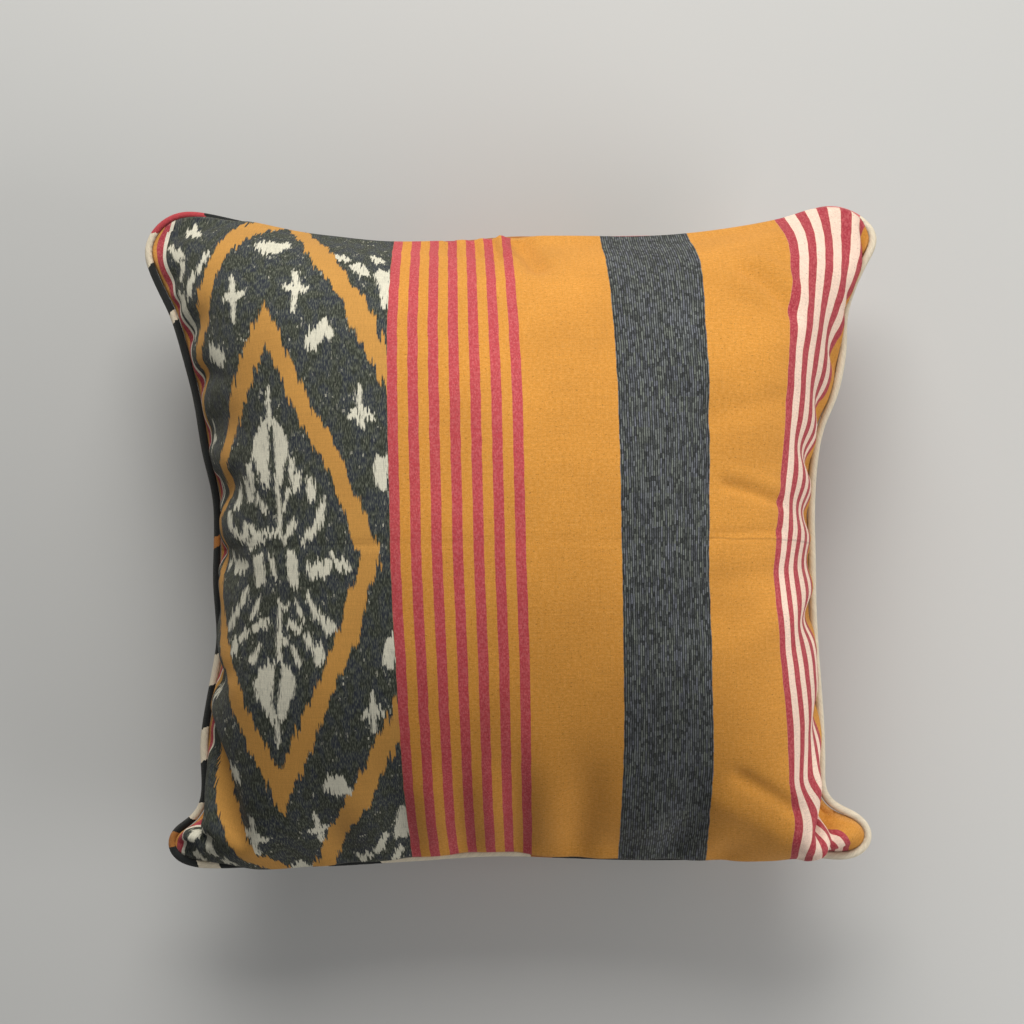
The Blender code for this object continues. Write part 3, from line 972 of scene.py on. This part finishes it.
def cover_material():
    g = Graph("ikat_cotton")
    x, y = g.uv("cloth")
    u, v = x * 1000.0, y * 1000.0
    px, py = g.uv("panel")

    # Threads, and the slow drift of a hand-beaten weave.
    fine = g.noise(g.vector(u * 1.7, v * 1.7), detail=1.0, rough=0.8)
    slow = g.noise(g.vector(u * 0.02, v * 0.02), detail=1.0, rough=0.6)
    warp_thread = g.noise(g.vector(u * 1.7, v * 0.06 + 40.0), detail=0.0)
    weft_thread = g.noise(g.vector(u * 0.05 + 80.0, v * 1.5), detail=0.0)
    tone = 1.0 + (warp_thread - 0.5) * 0.10 + (weft_thread - 0.5) * 0.13 + (slow - 0.5) * 0.26

    # Stripes. Their edges follow single threads that sway a little.
    sway = (g.noise(g.vector(u * 0.02, v * 0.12), detail=0.0) - 0.5) * 0.5
    place = u + sway + (fine - 0.5) * 0.25

    def between(low, high):
        return g.ramp(place, low - 0.12, low + 0.12) * g.ramp(place, high + 0.12, high - 0.12)

    def run(first, last, pitch, width):
        each = g.math("MODULO", place - (first - 0.12), pitch)
        return between(first, last) * g.ramp(each, width + 0.24, width) * g.ramp(each, 0.0, 0.24)

    is_ikat = between(*IKAT)
    is_dark = between(*BAND)
    crimson = run(*RED_RUN)
    deep = run(*CREAM_RUN)
    cream = between(CREAM_RUN[0], CREAM_RUN[1]) * (1.0 - deep)
    is_red = g.low(crimson + deep + between(*EDGE_RED), 1.0)
    stripe = g.mix(crimson, ORANGE, RED)
    stripe = g.mix(cream, stripe, CREAM)
    stripe = g.mix(g.low(deep + between(*EDGE_RED), 1.0), stripe, DEEP_RED)
    stripe = g.mix(between(*EDGE_WHITE), stripe, WHITE)

    # Plain colours: a soft mottle and small dark slubs.
    mottle = g.noise(g.vector(u * 0.5, v * 0.8), detail=1.0, rough=0.7)
    slub = g.ramp(g.noise(g.vector(u * 0.6, v * 0.9), detail=1.0, rough=0.6), 0.70, 0.80)
    plain = g.mix(g.ramp(mottle, 0.35, 0.80) * 0.22, stripe, (0.60, 0.36, 0.13))
    plain = g.mix(is_red + cream, plain, stripe)
    plain = g.brighter(plain, 1.0 + (fine - 0.5) * 0.46 + (mottle - 0.5) * 0.26 - slub * 0.34)
    # Red: a heather of pink and crimson ends.
    pale = g.ramp(g.dice(g.floor(u / 0.56), g.floor(v / 1.1)) + mottle, 0.8, 1.5)
    plain = g.mix(is_red * pale * 0.45, plain, PINK)
    # The dark band: mottled yarn, pale and black in short lengths, end by end.
    across = (u + sway) / 1.22
    end = g.floor(across)
    length = g.floor(v / 2.8 + g.dice(end + 900.0) * 9.0)
    ply = g.size(g.math("SINE", across * math.pi))
    yarn = ply * (g.dice(end + 900.0, length) * 0.62 + 0.38)
    yarn = yarn + (g.noise(g.vector(u * 1.5, v * 0.5), detail=1.0, rough=0.7) - 0.5) * 0.45
    shade = g.mix(g.dice(end + 1300.0, g.floor(v / 9.0)), SILVER, SILVER_GREEN)
    band = g.mix(g.ramp(yarn, 0.24, 1.16), DARK, shade)
    plain = g.mix(is_dark, plain, band)

    # The ikat band. Bundles of ends were tied together and slip a little past each
    # other on the loom: each steps across, and starts and stops at its own height.
    narrow, wide = g.floor(u / 0.95), g.floor(u / 2.7)
    slip = (g.dice(narrow + 31.0) - 0.5) * 6.0 + (g.dice(wide + 77.0) - 0.5) * 6.5
    small_slip = (g.dice(narrow + 131.0) - 0.5) * 4.6 + (g.dice(wide + 177.0) - 0.5) * 3.6
    bundle = (narrow + 0.5) * 0.95
    drift_x, drift_y, _ = g.apart(g.noise(g.vector(u * 0.012 + 9.0, v * 0.02), detail=1.0, colour=True))
    fray = g.noise(g.vector(u * 1.2, v * 0.22), detail=1.0, rough=0.7) - 0.5
    side = bundle - AXIS + (drift_x - 0.5) * 7.0
    from_axis = g.size(side)
    rise = (drift_y - 0.5) * 8.0 + v
    lozenge = None
    for middle, steep, low, high in LOZENGES:
        ring = g.size(rise - middle + slip) + from_axis * steep + fray * 5.0
        inside = g.low(g.ramp(ring, low - 0.9, low + 0.9), g.ramp(ring, high + 0.9, high - 0.9))
        lozenge = inside if lozenge is None else g.high(lozenge, inside)
    moved = rise - MIDDLE + small_slip
    point = g.vector(from_axis, moved)
    d = strokes(g, point, BRANCH)
    d = strokes(g, g.vector(side, moved), SPRIGS, d)
    scattered = g.size(rise - SCATTER_MIDDLE + small_slip)
    d = strokes(g, g.vector(from_axis, scattered), SCATTER, d)
    thin = g.ramp(g.noise(g.vector(u * 1.5 + 7.0, v * 0.13), detail=1.0, rough=0.8), 0.56, 0.76)
    figure = g.ramp(d + fray * 3.4 + thin * 1.6, 0.45, -0.45) * (1.0 - thin * 0.30)
    # Stray flecks where the dye missed a thread, in loose drifts.
    cell = g.dice(g.floor(u / 0.8), g.floor(v / 1.7 + g.dice(narrow + 5.0)))
    drifts = g.ramp(g.noise(g.vector(u * 0.075 + 3.0, v * 0.06), detail=1.0), 0.55, 0.74)
    fleck = g.ramp(cell, 0.993, 0.997) * 0.14 + g.ramp(cell - drifts * 0.085, 0.902, 0.906) * drifts
    heather = g.noise(g.vector(u * 1.7, v * 0.30), detail=1.0, rough=0.8)
    tint = g.ramp(g.noise(g.vector(u * 0.16, v * 0.09), detail=1.0), 0.40, 0.62)
    ground = g.mix(tint, GROUND, GROUND_BLUE)
    ground = g.mix(g.ramp(heather, 0.44, 0.82), ground, GROUND_LIGHT)
    ground = g.mix(g.low(fleck, 1.0) * 0.8, ground, IKAT_CREAM)
    dyed = g.mix(lozenge, ground, IKAT_ORANGE)
    dyed = g.mix(figure * (1.0 - lozenge), dyed, IKAT_CREAM)
    dyed = g.brighter(dyed, 1.0 + (fine - 0.5) * 0.34 + (heather - 0.5) * 0.26)
    colour = g.mix(is_ikat, plain, dyed)

    # Wear: the raised edge by the seam is rubbed pale. Painted shade: the colour is darkened in a thin line along
    # the storage crease.
    edge_off = g.low(g.low(px, 1.0 - px), g.low(py, 1.0 - py)) * CUT
    rubbed = g.ramp(edge_off, 5.0, 1.0) * g.ramp(fine, 0.35, 0.75)
    colour = g.mix(rubbed * 0.16, colour, (0.66, 0.60, 0.52))
    # Painted shade: a thin dark line along the storage crease, on top of the trough that folded() presses in.
    crease_v = 216.0 + (px - 0.2) * 6.0 + (g.noise(g.vector(u * 0.05, 0.0), detail=1.0) - 0.5) * 2.0
    crease_shade = g.ramp(g.size(v - crease_v), 0.9, 0.2) * g.ramp(g.size(px - 0.47), 0.12, 0.2)
    colour = g.brighter(colour, tone * (1.0 - crease_shade * 0.22))

    height = weave(g, u, v, 0.52) * 0.30 + fine * 0.7
    rough = 0.80 + (fine - 0.5) * 0.16
    return g.finish(colour, rough, height, 0.00016, 0.06, (1.0, 0.90, 0.78))


# The strip round the cord was cut across the stripes, so its colour changes along it:
# where each colour starts, as a share of the seam from the lower left corner, going
# round anticlockwise. The dark run from 0.140 to 0.200, along the right of the foot, is
# painted shade where the cord lies tucked under the rolled edge.
PIPE_RUN = (
    (0.000, DARK),
    (0.008, PIPE_CREAM),
    (0.016, DARK),
    (0.032, PIPE_CREAM),
    (0.036, DARK),
    (0.052, PIPE_CREAM),
    (0.058, DARK),
    (0.078, PIPE_CREAM),
    (0.132, RUST),
    # Painted shade: this dark run stands for the shadow on the cord tucked under the foot's rolled edge.
    (0.140, DARK),
    (0.200, ORANGE),
    (0.226, PIPE_CREAM),
    (0.497, PINK),
    (0.510, RED),
    (0.577, PINK),
    (0.598, RUST),
    (0.645, RED),
    (0.712, DARK),
    (0.745, RED),
    (0.764, PIPE_CREAM),
    (0.776, DARK),
    (0.793, PIPE_CREAM),
    (0.797, DARK),
    (0.879, RUST),
    (0.885, DARK),
    (0.925, PIPE_CREAM),
    (0.934, DARK),
    (0.951, PIPE_CREAM),
    (0.961, DARK),
    (0.979, PIPE_CREAM),
    (0.986, DARK),
    (0.993, RUST),
)


def piping_material(total):
    g = Graph("piping_cotton")
    x, y = g.uv("cloth")
    run = x * (total * 1000.0)
    round_ = y * (2 * math.pi * PIPE_R)
    # The strip was cut on the slant: its stripes and threads wind round the cord.
    slant = x + g.size(y - 0.5) * 0.004 + (g.noise(g.vector(run * 0.4, y * 9.0)) - 0.5) * 0.0012
    colour = g.bands(slant, PIPE_RUN)
    a, b = run + round_, run - round_
    fine = g.noise(g.vector(a * 1.3, b * 1.3), detail=2.0, rough=0.7)
    thread = g.dice(g.floor(a * 1.5))
    colour = g.brighter(colour, 1.0 + (fine - 0.5) * 0.34 + (thread - 0.5) * 0.14)
    # Rubbed pale on the outside, and painted shade in the groove by the seam, darker towards it.
    outside = g.ramp(g.size(y - 0.5), 0.26, 0.04)
    groove_shade = g.ramp(g.size(y - 0.5), 0.36, 0.50)
    colour = g.mix(outside * g.ramp(fine, 0.45, 0.8) * 0.22, colour, (0.78, 0.72, 0.62))
    # Painted shade: the side of the cord in the groove by the seam is darkened.
    colour = g.brighter(colour, 1.0 - groove_shade * 0.35)
    # Small puckers where the stitches pull.
    stitch = g.math("SINE", run * (2 * math.pi / 3.2)) * g.ramp(g.size(y - 0.5), 0.30, 0.48)
    height = weave(g, a, b, 0.7) * 0.55 + fine * 0.5 + stitch * 0.8
    rough = 0.78 + (fine - 0.5) * 0.16
    return g.finish(colour, rough, height, 0.00018, 0.06, (1.0, 0.92, 0.82))


# ---- putting it together -----------------------------------------------------------
shape = rolled(folded(ironed(filled_cover())))
np.maximum(shape[..., 2], 0.0, out=shape[..., 2])
cover = add_cover(shape)
cover.data.materials.append(cover_material())
piping, seam_length = add_piping(shape)
piping.data.materials.append(piping_material(seam_length))

for piece, node, slot in ((cover, "cushion_body", "ikat_cotton"), (piping, "piping", "piping_cotton")):
    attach(piece, "root")
    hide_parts(node)

# ---- floor, light, camera ----------------------------------------------------------
floor_mesh = bpy.data.meshes.new("floor")
floor_mesh.from_pydata([(-4, -4, 0), (4, -4, 0), (4, 4, 0), (-4, 4, 0)], [], [(0, 1, 2, 3)])
floor = bpy.data.objects.new("floor", floor_mesh)
bpy.context.scene.collection.objects.link(floor)
paint = Graph("floor")
paint.shader.inputs["Base Color"].default_value = (0.50, 0.50, 0.49, 1.0)
paint.shader.inputs["Roughness"].default_value = 0.9
floor_mesh.materials.append(paint.material)


def aim(obj, place, target):
    obj.location = place
    obj.rotation_euler = (Vector(target) - Vector(place)).to_track_quat("-Z", "Y").to_euler()


def add_light(name, place, target, width, power, colour=(1.0, 1.0, 1.0)):
    light = bpy.data.lights.new(name, "AREA")
    light.shape = "SQUARE"
    light.size = width
    light.energy = power
    light.color = colour
    obj = bpy.data.objects.new(name, light)
    bpy.context.scene.collection.objects.link(obj)
    aim(obj, place, target)


add_light("key", (-0.05, 1.3, 1.15), (0.0, 0.0, 0.1), 1.1, 33.5, (1.0, 0.985, 0.95))
add_light("fill", (1.0, -0.42, 0.64), (0.08, -0.06, 0.1), 0.7, 7.0, (1.0, 0.99, 0.97))

world = bpy.data.worlds.new("studio")
world.use_nodes = True
world.node_tree.nodes["Background"].inputs[0].default_value = (0.97, 0.985, 1.0, 1.0)
world.node_tree.nodes["Background"].inputs[1].default_value = 0.205
bpy.context.scene.world = world
bpy.context.scene.view_settings.view_transform = "Standard"

DISTANCE, TILT = 1.35, 85.0
TARGET = Vector((0.0003, 0.0113, 0.088))
camera_data = bpy.data.cameras.new("camera")
camera = bpy.data.objects.new("camera", camera_data)
bpy.context.scene.collection.objects.link(camera)
away = Vector((0.0, -math.cos(math.radians(TILT)), math.sin(math.radians(TILT))))
aim(camera, TARGET + away * DISTANCE, TARGET)
camera_data.sensor_width = 36.0
camera_data.lens = DISTANCE / (0.00059 * 1024) * 36.0
camera_data.clip_start = 0.05
bpy.context.scene.camera = camera

bpy.context.view_layer.update()
